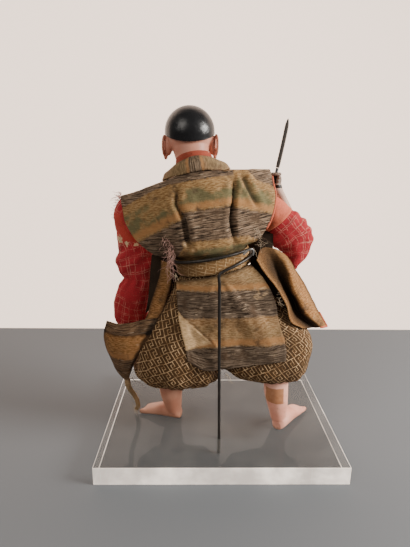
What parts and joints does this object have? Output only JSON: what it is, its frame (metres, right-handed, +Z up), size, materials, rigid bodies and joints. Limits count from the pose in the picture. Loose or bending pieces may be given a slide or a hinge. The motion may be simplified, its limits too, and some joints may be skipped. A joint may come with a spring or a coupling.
{
  "type": "papier-mache doll",
  "caption": "Papier-mache doll of a barefoot swordsman in old banded cloth, full patterned trousers and checked sleeves, held up by a bent wire on a clear acrylic foot.",
  "frame": {"origin": "middle of the acrylic foot's underside", "axes": "+Z up, the doll faces -Y, +X to the doll's left"},
  "size_m": [0.25, 0.2, 0.3561],
  "materials": {
    "acrylic": "clear polished acrylic sheet with fine scratches",
    "wire": "dark bent steel wire, rubbed bright at its ends",
    "painted_paper": "papier-mache with a smooth flesh-coloured ground, browned and rubbed",
    "black_lacquer": "glossy black lacquer with small dents",
    "blade": "dark tarnished blade",
    "fret_cloth": "dark brown weave with a fine tan key fret",
    "banded_cloth": "faded weave in tan and dark brown bands, frayed and soiled",
    "salmon_cloth": "faded plain red cloth",
    "red_check_cloth": "dark red cloth with a thin pale check, torn in places",
    "lining_cloth": "dark brown soiled lining cloth"
  },
  "bodies": {
    "root": {"acrylic_base": "acrylic", "support_wire": "wire", "head": "painted_paper", "black_cap": "black_lacquer", "left_hand": "painted_paper", "right_hand": "painted_paper", "left_leg": "painted_paper", "right_leg": "painted_paper", "sword_blade": "blade", "sword_grip": "black_lacquer", "trousers": "fret_cloth", "belt": "fret_cloth", "vest": "banded_cloth", "vest_collar": "banded_cloth", "tail_panel": "banded_cloth", "left_flap": "banded_cloth", "right_flap": "banded_cloth", "torn_strip": "banded_cloth", "inner_collar": "salmon_cloth", "right_sleeve_band": "salmon_cloth", "left_sleeve": "red_check_cloth", "right_sleeve": "red_check_cloth", "left_skirt_side": "lining_cloth", "right_skirt_side": "lining_cloth"}
  },
  "joints": []
}
